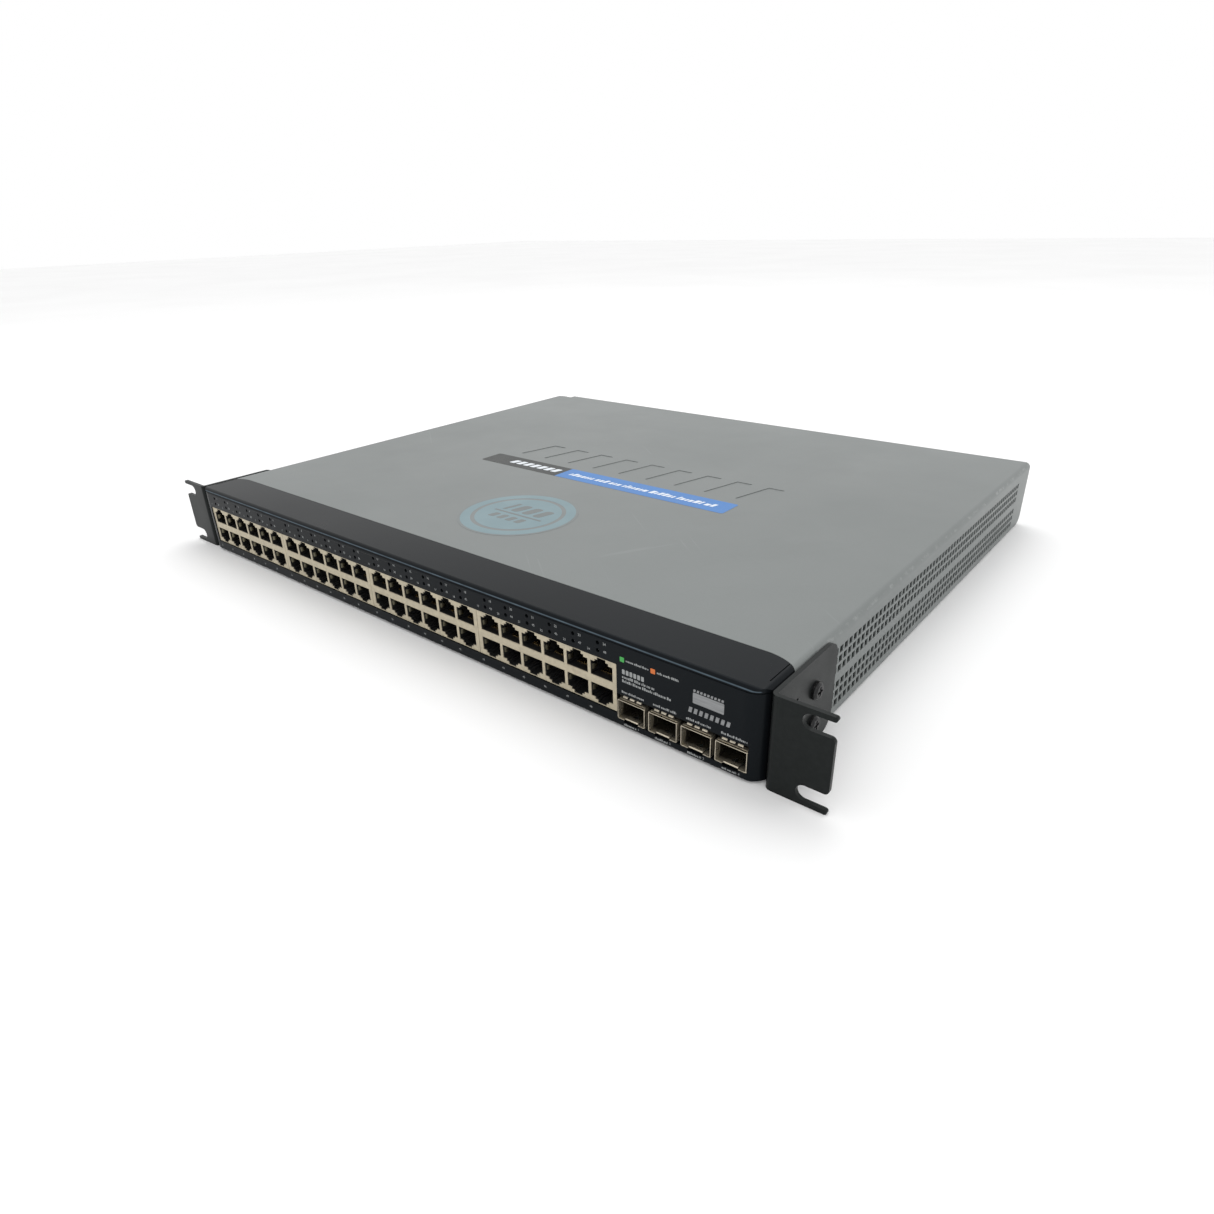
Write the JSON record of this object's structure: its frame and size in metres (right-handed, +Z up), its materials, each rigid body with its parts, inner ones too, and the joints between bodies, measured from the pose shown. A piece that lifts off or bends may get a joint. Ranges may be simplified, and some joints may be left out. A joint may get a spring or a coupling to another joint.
{
  "type": "rackmount network switch",
  "caption": "One-unit rackmount Ethernet switch: vented steel case, black front bezel, rows of twisted-pair jacks, module cages and slotted rack ears.",
  "frame": {"origin": "under the middle of the whole switch, at the height of the ears' lower edges", "axes": "+X to the right seen from the front, +Y from the front face to the back, +Z up"},
  "size_m": [0.4826, 0.369, 0.0436],
  "materials": {
    "cover_paint": "satin silver-grey paint with faint scratches",
    "zinc_sheet": "zinc-plated sheet steel",
    "bezel_plastic": "fine-textured blue-black moulding",
    "ear_paint": "black powder coat",
    "black_screw": "black oxide",
    "bright_screw": "zinc plated",
    "label_print": "printed film, black and blue",
    "sticker_film": "clear film printed in pale blue",
    "board_green": "solder mask",
    "jack_tin": "tinned sheet, warm tint",
    "jack_plastic": "black moulding",
    "contact_gold": "gold-plated spring wire",
    "cage_metal": "nickel-plated sheet",
    "socket_plastic": "black moulding",
    "pipe_clear": "clear moulding",
    "lamp_white": "small lamp bodies",
    "chip_epoxy": "moulded epoxy",
    "sink_aluminium": "extruded aluminium",
    "can_aluminium": "drawn aluminium cans",
    "header_nylon": "natural nylon",
    "board_brown": "phenolic board",
    "insulator_film": "polyester sheet",
    "ferrite": "ferrite and taped winding",
    "capacitor_sleeve": "shrink sleeve",
    "connector_shell": "tinned shell",
    "fan_plastic": "black moulding",
    "lead_red": "insulated wire",
    "ribbon_grey": "flat ribbon"
  },
  "bodies": {
    "chassis": {"top_cover": "cover_paint", "chassis_base": "zinc_sheet", "front_bezel": "bezel_plastic", "rack_ear_left": "ear_paint", "rack_ear_right": "ear_paint", "ear_screws": "black_screw", "cover_screws": "bright_screw", "board_screws": "bright_screw", "inlet_screws": "bright_screw", "console_nuts": "bright_screw", "board_standoffs": "bright_screw", "psu_standoffs": "bright_screw", "fan_screws": "bright_screw", "strip_label": "label_print", "round_sticker": "sticker_film", "main_board": "board_green", "jack_shell_1": "jack_tin", "jack_shell_2": "jack_tin", "jack_shell_3": "jack_tin", "jack_shell_4": "jack_tin", "jack_insert_1": "jack_plastic", "jack_insert_2": "jack_plastic", "jack_insert_3": "jack_plastic", "jack_insert_4": "jack_plastic", "jack_contacts_1": "contact_gold", "jack_contacts_2": "contact_gold", "jack_contacts_3": "contact_gold", "jack_contacts_4": "contact_gold", "sfp_cage_1": "cage_metal", "sfp_cage_2": "cage_metal", "sfp_cage_3": "cage_metal", "sfp_cage_4": "cage_metal", "emi_fingers": "cage_metal", "sfp_sockets": "socket_plastic", "power_inlet": "socket_plastic", "light_pipes": "pipe_clear", "status_leds": "lamp_white", "switch_chips": "chip_epoxy", "phy_chips": "chip_epoxy", "line_transformers": "chip_epoxy", "chip_heat_sinks": "sink_aluminium", "psu_heat_sinks": "sink_aluminium", "board_capacitors": "can_aluminium", "board_headers": "header_nylon", "psu_board": "board_brown", "psu_insulator": "insulator_film", "psu_transformer": "ferrite", "psu_capacitors": "capacitor_sleeve", "console_port": "connector_shell", "fan_frame_1": "fan_plastic", "fan_frame_2": "fan_plastic", "power_leads": "lead_red", "fan_leads": "lead_red", "console_cable": "ribbon_grey"},
    "latch_1": {"sfp_latch_1": "cage_metal"},
    "latch_2": {"sfp_latch_2": "cage_metal"},
    "latch_3": {"sfp_latch_3": "cage_metal"},
    "latch_4": {"sfp_latch_4": "cage_metal"},
    "rotor_1": {"fan_rotor_1": "fan_plastic"},
    "rotor_2": {"fan_rotor_2": "fan_plastic"}
  },
  "joints": [
    {"name": "latch_1_flex", "type": "hinge", "parent": "chassis", "child": "latch_1", "pos_m": [0.15175, -0.1716, 0.00515], "axis": [1, 0, 0], "range_deg": [0, 5], "stiffness_Nm_per_rad": 0.005},
    {"name": "latch_2_flex", "type": "hinge", "parent": "chassis", "child": "latch_2", "pos_m": [0.16817, -0.1716, 0.00515], "axis": [1, 0, 0], "range_deg": [0, 5], "stiffness_Nm_per_rad": 0.005},
    {"name": "latch_3_flex", "type": "hinge", "parent": "chassis", "child": "latch_3", "pos_m": [0.18459, -0.1716, 0.00515], "axis": [1, 0, 0], "range_deg": [0, 5], "stiffness_Nm_per_rad": 0.005},
    {"name": "latch_4_flex", "type": "hinge", "parent": "chassis", "child": "latch_4", "pos_m": [0.20101, -0.1716, 0.00515], "axis": [1, 0, 0], "range_deg": [0, 5], "stiffness_Nm_per_rad": 0.005},
    {"name": "rotor_1_spin", "type": "hinge", "parent": "chassis", "child": "rotor_1", "pos_m": [-0.2029, 0.0505, 0.0222], "axis": [1, 0, 0], "continuous": true},
    {"name": "rotor_2_spin", "type": "hinge", "parent": "chassis", "child": "rotor_2", "pos_m": [-0.2029, 0.1155, 0.0222], "axis": [1, 0, 0], "continuous": true}
  ]
}
